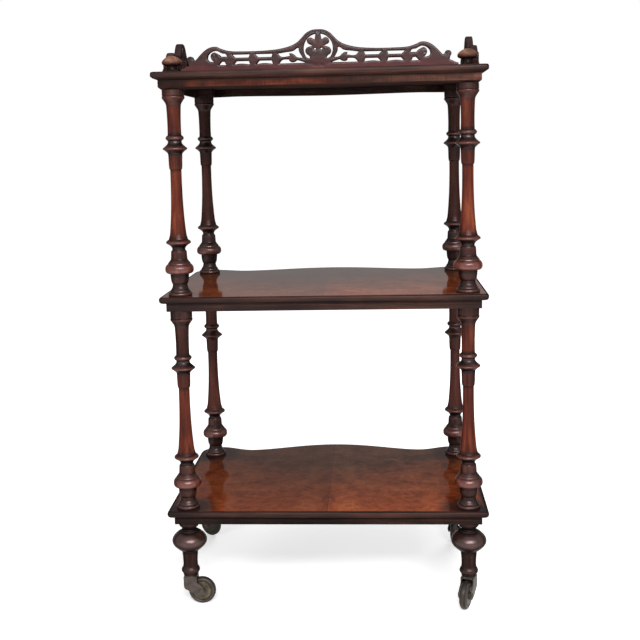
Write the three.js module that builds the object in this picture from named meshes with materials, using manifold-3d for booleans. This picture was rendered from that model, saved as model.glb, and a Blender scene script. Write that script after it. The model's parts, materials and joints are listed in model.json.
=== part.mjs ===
// Victorian walnut three-tier whatnot (etagere) on brass swivel casters.
// Millimetres, +Z up, floor at z = 0. The straight side with the fretwork gallery faces -Y
// and the serpentine side faces +Y.
import * as THREE from 'three';
import { mergeVertices } from 'three/addons/utils/BufferGeometryUtils.js';
import Module from 'manifold-3d';

const wasm = await Module();
wasm.setup();

// Stand: the four post lines and the three levels
const postSpacingX = 538;
const postSpacingY = 342;
const bottomTierHeight = 194;
const tierPitch = 413;

// Clearances
const fitGap = 0.3;
const runningGap = 0.8;
const cutOverrun = 5;

// Plan of a tier, measured outwards from the post lines
const sideOverhang = 36;
const nearOverhang = 32;
const dipOverhang = 34;
const lobeOverhang = 57;
const bowOverhang = 76;
const lobeRadius = 42;
const nearCornerRadius = 6;
const dipFromCentre = 190;
const bowFullnessShare = 0.85;

// Boards and the rails below them
const boardThickness = 12;
const boardNoseReach = 4.5;
const topBoardThickness = 14.5;
const topBoardNoseReach = 11;
const apronInset = 12;
const apronHeight = 15;
const friezeHeight = 17.5;
const friezeChamferHeight = 4.5;
const friezeChamferDepth = 5.5;
const railThickness = 14;
const cornerBlockHalf = 21.5;

// Turned pieces
const postBulbRadius = 26.5;
const footBulbRadius = 33.5;
const finialRadius = 18.5;
const finialHeight = 29.5;
const spigotRadius = 8;
const spigotReach = 20;
const blindSpigotReach = 8;
const finialPinRadius = 4;
const finialPinReach = 12;
const housingDepth = 1;
const turnedSides = 10;

// Fretwork galleries
const galleryThickness = 13;
const galleryGrooveDepth = 3;
const galleryEndGap = 3.5;
const backCrestHeight = 70;
const sideCrestHeight = 68;
const sideGalleryOutset = 17.5;

// Casters
const wheelRadius = 26.5;
const wheelHeadroom = 1;
const wheelHalfWidth = 8.6;
const wheelHubProud = 1.4;
const wheelHubRadius = 7;
const wheelSides = 16;
const trail = 21.5;
const cheekThickness = 2.2;
const forkHalfLength = 13;
const forkPlateThickness = 2.4;
const axleBossRadius = 7.5;
const axleRadius = 3.2;
const axleHeadRadius = 5;
const axleHeadHeight = 1.6;
const topPlateRadius = 14;
const topPlateThickness = 1.8;
const screwRadius = 4;
const screwLength = 28;
const rivetHeadRadius = 6.5;
const rivetHeadHeight = 2;
const pinSides = 8;

// Heights and places worked out from the sizes above
const tierTops = [bottomTierHeight, bottomTierHeight + tierPitch, bottomTierHeight + 2 * tierPitch];
const topTier = tierTops.length - 1;
const halfX = postSpacingX / 2;
const halfY = postSpacingY / 2;
const holeRadius = spigotRadius + fitGap;
const underLowerTiers = boardThickness + apronHeight;
const underTopTier = topBoardThickness + friezeHeight;
const turningLength = tierPitch - underLowerTiers;
const wheelHubHalfWidth = wheelHalfWidth + wheelHubProud;
const forkPlateUnder = 2 * wheelRadius + wheelHeadroom;
const forkTop = forkPlateUnder + forkPlateThickness;
const topPlateUnder = forkTop + fitGap;
const casterTop = topPlateUnder + topPlateThickness;
const postLines = {
  near_left: [-halfX, -halfY],
  near_right: [halfX, -halfY],
  far_left: [-halfX, halfY],
  far_right: [halfX, halfY],
};

function finish(color, roughness, metalness = 0) {
  return new THREE.MeshStandardMaterial({ color, roughness, metalness });
}

const stand = new THREE.Group();

function addPiece(name, geometry, material, parent = stand) {
  const mesh = new THREE.Mesh(geometry, material);
  mesh.name = name;
  parent.add(mesh);
  return mesh;
}

// Solids: joining and cutting closed meshes
function toSolid(geometry) {
  const bare = geometry.clone();
  bare.deleteAttribute('normal');
  bare.deleteAttribute('uv');
  const merged = mergeVertices(bare);
  const vertProperties = new Float32Array(merged.attributes.position.array);
  const triVerts = new Uint32Array(merged.index.array);
  return new wasm.Manifold(new wasm.Mesh({ numProp: 3, vertProperties, triVerts }));
}

function toGeometry(solid) {
  const mesh = solid.getMesh();
  const geometry = new THREE.BufferGeometry();
  geometry.setAttribute('position', new THREE.BufferAttribute(mesh.vertProperties, 3));
  geometry.setIndex(new THREE.BufferAttribute(mesh.triVerts, 1));
  geometry.computeVertexNormals();
  return geometry;
}

function join(pieces) {
  return toGeometry(pieces.map(toSolid).reduce((whole, piece) => whole.add(piece)));
}

function cut(piece, tools) {
  return toGeometry(tools.map(toSolid).reduce((rest, tool) => rest.subtract(tool), toSolid(piece)));
}

const toVector = ([x, y]) => new THREE.Vector2(x, y);

// A plate from its outline and holes, lists of points in the XY plane
function extrude(outline, depth, holes = []) {
  const shape = new THREE.Shape(outline);
  shape.holes.push(...holes.map((hole) => new THREE.Path(hole)));
  return new THREE.ExtrudeGeometry(shape, { depth, bevelEnabled: false });
}

// A turned piece from its [radius, height] profile, which starts and ends on the axis or,
// for a ring, comes back to its first point
function turned(profile, sides) {
  const points = profile.map(([radius, height]) => new THREE.Vector2(radius, height));
  return new THREE.LatheGeometry(points, sides).rotateX(Math.PI / 2);
}

function pin(radius, low, high, sides = turnedSides) {
  return turned([[0, low], [radius, low], [radius, high], [0, high]], sides);
}

// A solid through plan outlines, [{ points, z }], from the lowest upwards
function loft(sections) {
  const count = sections[0].points.length;
  const vertices = sections.flatMap(({ points, z }) => points.flatMap((point) => [point.x, point.y, z]));
  const cap = THREE.ShapeUtils.triangulateShape(sections[0].points, []);
  const last = (sections.length - 1) * count;
  const faces = [];
  for (const [a, b, c] of cap) {
    faces.push(c, b, a, last + a, last + b, last + c);
  }
  for (let level = 0; level < last; level += count) {
    for (let i = 0; i < count; i += 1) {
      const next = (i + 1) % count;
      faces.push(level + i, level + next, level + count + next);
      faces.push(level + i, level + count + next, level + count + i);
    }
  }
  const geometry = new THREE.BufferGeometry();
  geometry.setAttribute('position', new THREE.Float32BufferAttribute(vertices, 3));
  geometry.setIndex(faces);
  geometry.computeVertexNormals();
  return geometry;
}

// Tier outline: straight near side, rounded corner lobes and a bowed, serpentine far side
const edgeSteps = 22;
const lobeSteps = 4;
const innerSteps = 12;
const halfWidth = halfX + sideOverhang;
const lobeCentreX = halfWidth - lobeRadius;
const lobeCentreY = halfY + lobeOverhang - lobeRadius;

// How far the far edge stands at x, for an outline set in by inset
function farEdge(x, inset) {
  const fromCentre = Math.abs(x);
  const beyondDip = (fromCentre - dipFromCentre) / (lobeCentreX - dipFromCentre);
  const towardsBow = (dipFromCentre - fromCentre) / dipFromCentre;
  const rise = beyondDip > 0
    ? (lobeOverhang - dipOverhang) * Math.sin(beyondDip * Math.PI / 2) ** 2
    : (bowOverhang - dipOverhang) * Math.sin(towardsBow ** bowFullnessShare * Math.PI / 2) ** 2;
  return halfY + dipOverhang + rise - inset;
}

function arc(centreX, centreY, radius, from, to, steps) {
  return Array.from({ length: steps + 1 }, (_, i) => {
    const angle = from + (to - from) * i / steps;
    return new THREE.Vector2(centreX + radius * Math.cos(angle), centreY + radius * Math.sin(angle));
  });
}

// The far side's outline points, from the right side round both lobes to the left side
function farSide(inset) {
  const right = arc(lobeCentreX, lobeCentreY, lobeRadius - inset, 0, Math.PI / 2, lobeSteps);
  const left = right.map((point) => new THREE.Vector2(-point.x, point.y)).reverse();
  const between = Array.from({ length: edgeSteps - 1 }, (_, i) => {
    const x = lobeCentreX * (1 - 2 * (i + 1) / edgeSteps);
    return new THREE.Vector2(x, farEdge(x, inset));
  });
  return [...right, ...between, ...left];
}

function tierOutline(inset) {
  const cornerX = halfWidth - inset - nearCornerRadius;
  const cornerY = -halfY - nearOverhang + inset + nearCornerRadius;
  return [
    ...arc(-cornerX, cornerY, nearCornerRadius, Math.PI, 1.5 * Math.PI, 2),
    ...arc(cornerX, cornerY, nearCornerRadius, 1.5 * Math.PI, 2 * Math.PI, 2),
    ...farSide(inset),
  ];
}

// Nosing sections as [share of the nose's reach, share of the board's thickness down]
const roundNoseShares = [[1, 1], [0.35, 0.88], [0, 0.5], [0.12, 0.14], [0.6, 0]];
const coveNoseShares = [[1, 1], [0.45, 0.83], [0.09, 0.65], [0, 0.4], [0.05, 0.13], [0.25, 0]];

function board(top, thickness, reach, noseShares) {
  return loft(noseShares.map(([inwards, down]) => ({
    points: tierOutline(inwards * reach),
    z: top - down * thickness,
  })));
}

// Round cuts on the post lines: holes for the spigots, and shallow housings for the feet of
// what stands on a board
function roundCuts(lines, radius, low, high) {
  return lines.map(([x, y]) => pin(radius, low, high).translate(x, y, 0));
}

// Plan outlines of the rails, with a block round each post line, for a face set in by inset
const blockInnerX = halfX - cornerBlockHalf;
const blockInnerY = halfY - cornerBlockHalf;
const railInner = apronInset + railThickness;

function nearRailOutline(inset) {
  const near = -halfY - nearOverhang + inset;
  const inner = -halfY - nearOverhang + railInner;
  const outerX = halfWidth - inset;
  return [
    [-outerX, near], [outerX, near], [outerX, -blockInnerY], [blockInnerX, -blockInnerY],
    [blockInnerX, inner], [-blockInnerX, inner], [-blockInnerX, -blockInnerY], [-outerX, -blockInnerY],
  ].map(toVector);
}

function farRailOutline(inset) {
  const outerX = halfWidth - inset;
  const inner = Array.from({ length: innerSteps + 1 }, (_, i) => {
    const x = blockInnerX * (2 * i / innerSteps - 1);
    return new THREE.Vector2(x, farEdge(x, railInner));
  });
  return [
    new THREE.Vector2(outerX, blockInnerY),
    ...farSide(inset),
    new THREE.Vector2(-outerX, blockInnerY),
    new THREE.Vector2(-blockInnerX, blockInnerY),
    ...inner,
    new THREE.Vector2(blockInnerX, blockInnerY),
  ];
}

function sideRailOutline(inset) {
  const outer = halfWidth - inset;
  const inner = halfWidth - railInner;
  const end = blockInnerY - fitGap;
  return [[inner, -end], [outer, -end], [outer, end], [inner, end]].map(toVector);
}

// A rail from its plan outline; the top tier's frieze has a chamfer along its lower edge
function rail(outline, top, height, chamferHeight, chamferDepth) {
  const sections = [
    { points: outline(apronInset), z: top - height + chamferHeight },
    { points: outline(apronInset), z: top },
  ];
  if (chamferHeight > 0) {
    sections.unshift({ points: outline(apronInset + chamferDepth), z: top - height });
  }
  return loft(sections);
}

// Turned profiles as [share of the largest radius, share of the length], from the foot upwards.
// A post's shares stop at its cap's lower edge, and the cap runs on to the tier above.
const postTurningShares = [
  [0.74, 0], [0.74, 0.016], [0.51, 0.059], [0.66, 0.108], [1, 0.12],
  [1, 0.136], [0.85, 0.155], [0.62, 0.175], [0.555, 0.207], [0.468, 0.228],
  [0.54, 0.241], [0.87, 0.257], [0.66, 0.282], [0.53, 0.36], [0.4, 0.512],
  [0.39, 0.608], [0.455, 0.617], [0.49, 0.686], [0.85, 0.711], [0.49, 0.748],
  [0.64, 0.763], [0.48, 0.777], [0.48, 0.86], [0.54, 0.922], [0.79, 0.951],
];
const footTurningShares = [
  [0.42, 0], [0.42, 0.03], [0.53, 0.09], [0.43, 0.165], [0.42, 0.33],
  [0.49, 0.46], [0.77, 0.515], [1, 0.61], [0.97, 0.68], [0.75, 0.765],
  [0.375, 0.853], [0.58, 0.93], [0.58, 1],
];
const finialTurningShares = [
  [0.69, 0], [0.55, 0.09], [0.55, 0.41], [0.97, 0.52], [1, 0.6], [0.8, 0.82], [0.35, 0.98],
];

function turning(shares, radius, low, length) {
  return shares.map(([out, up]) => [out * radius, low + up * length]);
}

// A socket or bore up into a turned piece's foot, from the axis outwards
function boreUp(radius, low, depth) {
  return [[0, low + depth], [radius, low + depth], [radius, low]];
}

// A spigot on a turned piece's head, with a bore down into it where another pin seats there
function spigotUp(low, high, boreRadius = 0, boreDepth = 0) {
  const outside = [[spigotRadius, low], [spigotRadius, high]];
  const bore = boreRadius > 0 ? [[boreRadius, high], [boreRadius, high - boreDepth]] : [];
  return [...outside, ...bore, [0, high - boreDepth]];
}

// Fretwork: outlines as shares of the crest's height. Crest and hole places run outwards
// from the plate's middle, scroll places run inwards from its end.
const crestTopShares = [
  [0, 1], [0.16, 0.985], [0.31, 0.91], [0.43, 0.79],
  [0.53, 0.695], [0.66, 0.62], [0.86, 0.557], [1.1, 0.515],
];
const scrollTopShares = [
  [1.6, 0.49], [1.28, 0.51], [1.08, 0.57], [0.96, 0.62], [0.79, 0.605], [0.66, 0.535], [0.54, 0.43],
  [0.41, 0.29], [0.36, 0.3], [0.335, 0.365], [0.27, 0.39], [0.205, 0.365], [0.18, 0.3], [0.212, 0.231],
  [0.225, 0.155], [0.16, 0.13], [0.07, 0.085], [0, 0.065], [0, 0],
];
const roundelRadiusShare = 0.379;
const roundelHeightShare = 0.521;
const palmetteShares = [
  [0.186, 0.28], [0.215, 0.385], [0.28, 0.41], [0.318, 0.485], [0.28, 0.56], [0.19, 0.575], [0.17, 0.64],
  [0.25, 0.665], [0.285, 0.705], [0.2, 0.79], [0.115, 0.745], [0.08, 0.81],
];
const ringGapShares = [
  [0.857, 0.443], [0.643, 0.479], [0.55, 0.543], [0.507, 0.543], [0.5, 0.457], [0.45, 0.357],
  [0.407, 0.286], [0.55, 0.307], [0.62, 0.37], [0.69, 0.407], [0.757, 0.407], [0.736, 0.343],
];
const leafGapShares = [
  [0.76, 0.26], [0.755, 0.215], [0.7, 0.185], [0.61, 0.195], [0.55, 0.235], [0.45, 0.205], [0.32, 0.158],
];
const scrollGapShares = [
  [0.88, 0.235], [0.765, 0.26], [0.72, 0.315], [0.735, 0.4], [0.79, 0.47], [0.88, 0.515], [0.95, 0.52],
  [1.09, 0.457], [1.19, 0.435], [1.235, 0.365], [1.08, 0.365], [1.04, 0.41], [0.915, 0.482],
  [0.84, 0.455], [0.803, 0.385], [0.82, 0.31],
];
const scrollFootShares = [[1.007, 0.155], [1.093, 0.243], [1.164, 0.238], [1.207, 0.15]];
const firstKnotShare = 1.114;
const lastKnotShare = 1.307;
const knotPitchShare = 0.59;
const knotHalfShares = { top: 0.09, aboveStem: 0.115, belowStem: 0.13, foot: 0.09 };
const stemShares = { railUnder: 0.415, stemTop: 0.33, stemUnder: 0.245, arch: 0.178, baseTop: 0.155 };

// Outlines of one half's openings, in shares, for knots at the given places
function gapOutlines(knots, endShare) {
  const { top, aboveStem, belowStem, foot } = knotHalfShares;
  const { railUnder, stemTop, stemUnder, arch, baseTop } = stemShares;
  const fromEnd = (shares) => shares.map(([inwards, up]) => [endShare - inwards, up]);
  const outlines = [
    [...ringGapShares, [knots[0] - aboveStem, stemTop], [knots[0] - top, railUnder]],
    [...leafGapShares, [knots[0] - foot, baseTop], [knots[0] - belowStem, stemUnder]],
    fromEnd(scrollGapShares),
    fromEnd(scrollFootShares),
  ];
  for (let i = 1; i < knots.length; i += 1) {
    const [a, b] = [knots[i - 1], knots[i]];
    outlines.push([
      [a + top, railUnder], [b - top, railUnder], [b - aboveStem, stemTop], [a + aboveStem, stemTop],
    ], [
      [a + belowStem, stemUnder], [b - belowStem, stemUnder], [b - foot, baseTop],
      [(a + b) / 2, arch], [a + foot, baseTop],
    ]);
  }
  return outlines;
}

function roundelOutline() {
  const leafAngle = Math.acos(palmetteShares.at(-1)[0] / roundelRadiusShare);
  const rim = arc(0, roundelHeightShare, roundelRadiusShare, leafAngle, -Math.PI / 5, 7);
  return [...rim.map((point) => [point.x, point.y]), ...palmetteShares];
}

// A slab in the XZ plane from its outline, reaching half its thickness each way from y = 0
function uprightSlab(outline, halfThickness) {
  return extrude(outline, 2 * halfThickness).translate(0, 0, -halfThickness).rotateX(Math.PI / 2);
}

// The knots' places: the first beside the roundel, the last beside the scroll, even between
function knotShares(endShare) {
  const span = endShare - lastKnotShare - firstKnotShare;
  const steps = Math.round(span / knotPitchShare);
  const pitch = span / Math.max(steps, 1);
  return Array.from({ length: steps + 1 }, (_, i) => firstKnotShare + i * pitch);
}

// A fretted plate in the XZ plane, centred in x and y, whose foot stands in a groove below
// z = 0. A plate too short for the whole pattern has it drawn in along its length.
function fretPlate(half, crest) {
  const endShare = Math.max(half / crest, firstKnotShare + lastKnotShare);
  const place = ([along, up], side) => new THREE.Vector2(side * along * half / endShare, up * crest);
  const rightTop = [
    ...crestTopShares.map((point) => place(point, 1)),
    ...scrollTopShares.map(([inwards, up]) => place([endShare - inwards, up], 1)),
    new THREE.Vector2(half, -galleryGrooveDepth),
  ];
  const leftTop = rightTop.slice(1).reverse().map((point) => new THREE.Vector2(-point.x, point.y));
  const slab = uprightSlab([...leftTop, ...rightTop], galleryThickness / 2);
  const gaps = [];
  for (const outline of [roundelOutline(), ...gapOutlines(knotShares(endShare), endShare)]) {
    for (const side of [-1, 1]) {
      const points = outline.map((point) => place(point, side));
      gaps.push(uprightSlab(points, galleryThickness / 2 + cutOverrun));
    }
  }
  return cut(slab, gaps);
}

// Galleries: one on the near post line, between the finials, and one outside each side's
// posts, from beside the near finial to abreast of the far post
const finialFootRadius = finialTurningShares[0][0] * finialRadius;
const backGalleryHalf = halfX - finialFootRadius - galleryEndGap;
const sideGalleryX = halfX + sideGalleryOutset;
const sideGalleryStart = -halfY + finialRadius + galleryEndGap;
const sideGalleryHalf = (halfY - sideGalleryStart) / 2;
const sideGalleryY = sideGalleryStart + sideGalleryHalf;

function groove(half) {
  const depth = galleryGrooveDepth + cutOverrun;
  const box = new THREE.BoxGeometry(2 * (half + fitGap), galleryThickness + 2 * fitGap, depth);
  return box.translate(0, 0, tierTops[topTier] - galleryGrooveDepth + depth / 2);
}

const galleryGrooves = [
  groove(backGalleryHalf).translate(0, -halfY, 0),
  ...[-1, 1].map((side) => (
    groove(sideGalleryHalf).rotateZ(Math.PI / 2).translate(side * sideGalleryX, sideGalleryY, 0)
  )),
];

function addGalleries() {
  const fretwork = finish('#3b2422', 0.35);
  const foot = tierTops[topTier];
  const back = fretPlate(backGalleryHalf, backCrestHeight);
  addPiece('back_gallery', back, fretwork).position.set(0, -halfY, foot);
  for (const [name, side] of [['left', -1], ['right', 1]]) {
    const plate = fretPlate(sideGalleryHalf, sideCrestHeight).rotateZ(Math.PI / 2);
    addPiece(`${name}_gallery`, plate, fretwork).position.set(side * sideGalleryX, sideGalleryY, foot);
  }
}

// Tiers: a moulded board on a near rail, a serpentine far rail and two side rails
function addTier(name, level) {
  const isTop = level === topTier;
  const top = tierTops[level];
  const thickness = isTop ? topBoardThickness : boardThickness;
  const height = isTop ? friezeHeight : apronHeight;
  const under = top - thickness;
  const nearLines = [postLines.near_left, postLines.near_right];
  const farLines = [postLines.far_left, postLines.far_right];
  const allLines = [...nearLines, ...farLines];
  const farHoleTop = isTop ? under + blindSpigotReach + fitGap : top + cutOverrun;
  const housedRadius = (isTop ? finialFootRadius : postTurningShares[0][0] * postBulbRadius) + fitGap;
  const reach = isTop ? topBoardNoseReach : boardNoseReach;
  const slab = board(top, thickness, reach, isTop ? coveNoseShares : roundNoseShares);
  const boardCuts = [
    ...roundCuts(nearLines, holeRadius, under - cutOverrun, top + cutOverrun),
    ...roundCuts(farLines, holeRadius, under - cutOverrun, farHoleTop),
    ...roundCuts(isTop ? nearLines : allLines, housedRadius, top - housingDepth, top + cutOverrun),
    ...(isTop ? galleryGrooves : []),
  ];
  const boardWood = finish('#6d3f24', 0.2);
  const railWood = finish(isTop ? '#6a3422' : '#2c1f1a', 0.35);
  const chamfer = isTop ? [friezeChamferHeight, friezeChamferDepth] : [0, 0];
  const makeRail = (outline) => rail(outline, under, height, ...chamfer);
  const holes = (lines) => roundCuts(lines, holeRadius, under - height - cutOverrun, under + cutOverrun);
  addPiece(`${name}_board`, cut(slab, boardCuts), boardWood);
  addPiece(`${name}_near_rail`, cut(makeRail(nearRailOutline), holes(nearLines)), railWood);
  addPiece(`${name}_far_rail`, cut(makeRail(farRailOutline), holes(farLines)), railWood);
  addPiece(`${name}_right_rail`, makeRail(sideRailOutline), railWood);
  addPiece(`${name}_left_rail`, makeRail(sideRailOutline).rotateZ(Math.PI), railWood);
}

// A foot between its caster's top plate and the bottom tier
function footTurning() {
  const top = tierTops[0] - underLowerTiers;
  return turned([
    ...boreUp(screwRadius + fitGap, casterTop, screwLength + fitGap),
    ...turning(footTurningShares, footBulbRadius, casterTop, top - casterTop),
    ...spigotUp(top, tierTops[0] + spigotReach),
  ], turnedSides);
}

// A post from its housing in one tier up to the rails of the next
function postTurning(level, spigot) {
  const low = tierTops[level] - housingDepth;
  const top = tierTops[level + 1] - (level + 1 === topTier ? underTopTier : underLowerTiers);
  const surface = turning(postTurningShares, postBulbRadius, tierTops[level], turningLength);
  return turned([
    ...boreUp(holeRadius, low, spigotReach + housingDepth + fitGap),
    [surface[0][0], low],
    ...surface,
    [surface.at(-1)[0], top],
    ...spigot(top),
  ], turnedSides);
}

// A finial, pinned into the spigot of the post below
function finialTurning() {
  const low = tierTops[topTier] - housingDepth;
  const surface = turning(finialTurningShares, finialRadius, tierTops[topTier], finialHeight);
  return turned([
    [0, low - finialPinReach],
    [finialPinRadius, low - finialPinReach],
    [finialPinRadius, low],
    [surface[0][0], low],
    ...surface,
    [0, tierTops[topTier] + finialHeight],
  ], turnedSides);
}

// Feet, two rows of posts and the finials, on the four post lines
function addTurnings() {
  const wood = finish('#4a211b', 0.25);
  const finialSeat = tierTops[topTier] - housingDepth;
  const blindTop = tierTops[topTier] - topBoardThickness + blindSpigotReach;
  const pinBore = [finialPinRadius + fitGap, finialPinReach + fitGap];
  const lowerSpigot = (top) => spigotUp(top, tierTops[1] + spigotReach);
  const nearSpigot = (top) => spigotUp(top, finialSeat, ...pinBore);
  const farSpigot = (top) => spigotUp(top, blindTop);
  for (const [line, [x, y]] of Object.entries(postLines)) {
    const isNear = y < 0;
    const upperPost = postTurning(1, isNear ? nearSpigot : farSpigot);
    addPiece(`${line}_foot`, footTurning(), wood).position.set(x, y, 0);
    addPiece(`${line}_lower_post`, postTurning(0, lowerSpigot), wood).position.set(x, y, 0);
    addPiece(`${line}_upper_post`, upperPost, wood).position.set(x, y, 0);
    if (isNear) {
      addPiece(`${line}_finial`, finialTurning(), wood).position.set(x, y, 0);
    }
  }
}

// Casters. Each is built with its swivel axis at the origin, trailing towards +X.
const cheekInner = wheelHubHalfWidth + runningGap;
const cheekOuter = cheekInner + cheekThickness;
const pivotHole = screwRadius + fitGap;
const axleHole = axleRadius + fitGap;

function casterPlate() {
  const headTop = forkPlateUnder - fitGap;
  return turned([
    [0, headTop - rivetHeadHeight],
    [rivetHeadRadius, headTop - rivetHeadHeight],
    [rivetHeadRadius, headTop],
    [screwRadius, headTop], [screwRadius, topPlateUnder], [topPlateRadius, topPlateUnder],
    [topPlateRadius, casterTop], [screwRadius, casterTop],
    [screwRadius, casterTop + screwLength], [0, casterTop + screwLength],
  ], pinSides);
}

// Cheek outline: a strap that leans back from the fork's plate to the axle boss
const cheekFrontShares = [[-1, 1], [-0.96, 0.66], [-0.55, 0.55], [0.8, 0.37]];
const cheekBackShares = [[1.02, 0.76], [1, 1]];

function casterFork() {
  const plate = [
    [-forkHalfLength, -cheekOuter], [forkHalfLength, -cheekOuter],
    [forkHalfLength, cheekOuter], [-forkHalfLength, cheekOuter],
  ].map(toVector);
  const hole = (x, y, radius) => arc(x, y, radius, 0, 2 * Math.PI, pinSides).slice(1);
  const at = ([along, up]) => new THREE.Vector2(along * forkHalfLength, up * forkTop);
  const strap = [
    ...cheekFrontShares.map(at),
    ...arc(trail, wheelRadius, axleBossRadius, -Math.PI * 0.6, Math.PI * 0.1, 6),
    ...cheekBackShares.map(at),
  ];
  const bridge = extrude(plate, forkPlateThickness, [hole(0, 0, pivotHole)]);
  const cheek = extrude(strap, cheekThickness, [hole(trail, wheelRadius, axleHole)]).rotateX(Math.PI / 2);
  return join([
    bridge.translate(0, 0, forkPlateUnder),
    cheek.clone().translate(0, cheekOuter, 0),
    cheek.translate(0, -cheekInner, 0),
  ]);
}

// Wheel section as [share of the radius, share of the half width] between bore and tread
const wheelFaceShares = [[0.65, 1], [0.73, 0.84], [0.82, 1], [1, 0.8]];

// The wheel's flats, not its corners, lie at its radius, so that it stands on a flat
function casterWheel() {
  const cornerRadius = wheelRadius / Math.cos(Math.PI / wheelSides);
  const face = [
    [axleHole, wheelHubHalfWidth], [wheelHubRadius, wheelHubHalfWidth], [wheelHubRadius, wheelHalfWidth],
    ...wheelFaceShares.map(([out, wide]) => [out * cornerRadius, wide * wheelHalfWidth]),
  ];
  const oneFace = [...face].reverse();
  const otherFace = face.map(([radius, side]) => [radius, -side]);
  const ring = turned([...oneFace, ...otherFace, oneFace[0]], wheelSides);
  return ring.rotateZ(Math.PI / wheelSides).rotateX(Math.PI / 2);
}

function casterAxle() {
  const shank = cheekOuter + fitGap;
  const head = shank + axleHeadHeight;
  return turned([
    [0, -head], [axleHeadRadius, -head], [axleHeadRadius, -shank], [axleRadius, -shank],
    [axleRadius, shank], [axleHeadRadius, shank], [axleHeadRadius, head], [0, head],
  ], pinSides).rotateX(Math.PI / 2);
}

// Each caster rests turned another way, as it was left: degrees from +X about +Z
const casterTurns = { near_left: 0, near_right: -111, far_left: 150, far_right: -102 };

function addCasters() {
  const metal = finish('#6b6150', 0.45, 0.9);
  for (const [line, [x, y]] of Object.entries(postLines)) {
    const caster = new THREE.Group();
    caster.position.set(x, y, 0);
    caster.rotation.z = THREE.MathUtils.degToRad(casterTurns[line]);
    stand.add(caster);
    addPiece(`${line}_caster_plate`, casterPlate(), metal, caster);
    addPiece(`${line}_caster_fork`, casterFork(), metal, caster);
    addPiece(`${line}_caster_wheel`, casterWheel(), metal, caster).position.set(trail, 0, wheelRadius);
    addPiece(`${line}_caster_axle`, casterAxle(), metal, caster).position.set(trail, 0, wheelRadius);
  }
}

['bottom', 'middle', 'top'].forEach(addTier);
addTurnings();
addGalleries();
addCasters();

// Origin: under the middle of the whole stand's box, on the floor
const box = new THREE.Box3().setFromObject(stand, true);
const middle = box.getCenter(new THREE.Vector3());
stand.position.set(-middle.x, -middle.y, 0);

export default stand;
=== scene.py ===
"""Looks of the walnut etagere: turned posts, moulded serpentine tiers, fretted galleries, casters.

Lengths are millimetres until they reach a mesh. The working origin is on the floor under the
middle of the four post lines, with -Y towards the side that carries the high gallery.
"""

import json
from math import acos, atan2, ceil, cos, degrees, hypot, inf, pi, radians, sin

import bmesh
import bpy
import numpy as np
from mathutils import Matrix, Vector
from mathutils.geometry import delaunay_2d_cdt


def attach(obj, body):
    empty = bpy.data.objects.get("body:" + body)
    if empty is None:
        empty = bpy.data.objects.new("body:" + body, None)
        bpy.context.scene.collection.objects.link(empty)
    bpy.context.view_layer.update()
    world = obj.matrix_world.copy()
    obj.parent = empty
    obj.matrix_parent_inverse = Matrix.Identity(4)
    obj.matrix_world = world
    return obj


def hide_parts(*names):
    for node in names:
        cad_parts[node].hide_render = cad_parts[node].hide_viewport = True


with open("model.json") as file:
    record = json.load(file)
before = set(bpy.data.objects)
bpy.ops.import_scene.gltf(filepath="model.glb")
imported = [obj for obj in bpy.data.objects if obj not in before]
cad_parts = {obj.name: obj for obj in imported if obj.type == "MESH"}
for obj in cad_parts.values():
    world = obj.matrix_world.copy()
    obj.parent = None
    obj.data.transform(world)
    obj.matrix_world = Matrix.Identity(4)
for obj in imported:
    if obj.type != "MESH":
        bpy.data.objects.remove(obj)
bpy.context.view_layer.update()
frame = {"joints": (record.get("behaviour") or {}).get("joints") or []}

MM = 0.001
LINES = ("near_left", "near_right", "far_left", "far_right")
joints = {joint["name"]: joint for joint in frame["joints"]}
swivels = {line: Vector(joints[f"{line}_swivel"]["pos_m"]) / MM for line in LINES}
origin = sum(swivels.values(), Vector()) / len(LINES)
origin.z = 0
post_at = {line: (swivels[line] - origin).to_2d() for line in LINES}
HALF_X = abs(post_at["near_left"].x)
HALF_Y = abs(post_at["near_left"].y)

# Levels
TIERS = {"bottom": 194, "middle": 607, "top": 1020}
BOARD_THICK, TOP_THICK = 12, 14.5
APRON_HIGH, FRIEZE_HIGH = 15, 17.5
APRON_LAP, FAR_LIFT = 1.3, 2.2
CASTER_TOP = 58.5
# How far down the top's moulding casts the painted shade on the band
MOULDING_SHADE_HIGH = 6


def frame_point(x, y, z):
    """A point of the working frame in metres of the shared frame."""
    return ((x + origin.x) * MM, (y + origin.y) * MM, z * MM)


# Node trees; new nodes go into the last tree of the list
trees = []


def join(output, socket):
    trees[-1].links.new(output, socket)


def node(kind, inputs=None, **settings):
    made = trees[-1].nodes.new(kind)
    for key, value in settings.items():
        setattr(made, key, value)
    for key, value in (inputs or {}).items():
        if isinstance(value, bpy.types.NodeSocket):
            join(value, made.inputs[key])
        else:
            made.inputs[key].default_value = value
    return made


def maths(operation, a, b=0.0, clamp=False):
    return node("ShaderNodeMath", {0: a, 1: b}, operation=operation, use_clamp=clamp).outputs[0]


def times(a, b, clamp=False):
    return maths("MULTIPLY", a, b, clamp)


def plus(a, b):
    return maths("ADD", a, b)


def weighted(*terms):
    """The sum of (value, weight) terms."""
    total = times(*terms[0])
    for term in terms[1:]:
        total = plus(total, times(*term))
    return total


def sloped(value, rise, start):
    """value * rise + start, kept from 0 to 1."""
    inputs = {0: value, 1: rise, 2: start}
    return node("ShaderNodeMath", inputs, operation="MULTIPLY_ADD", use_clamp=True).outputs[0]


def remap(value, low, high, to_low=0.0, to_high=1.0, **settings):
    """Turns low..high into to_low..to_high, and keeps to the ends beyond them."""
    return node("ShaderNodeMapRange", {
        "Value": value, "From Min": low, "From Max": high, "To Min": to_low, "To Max": to_high,
    }, **settings).outputs[0]


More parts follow.
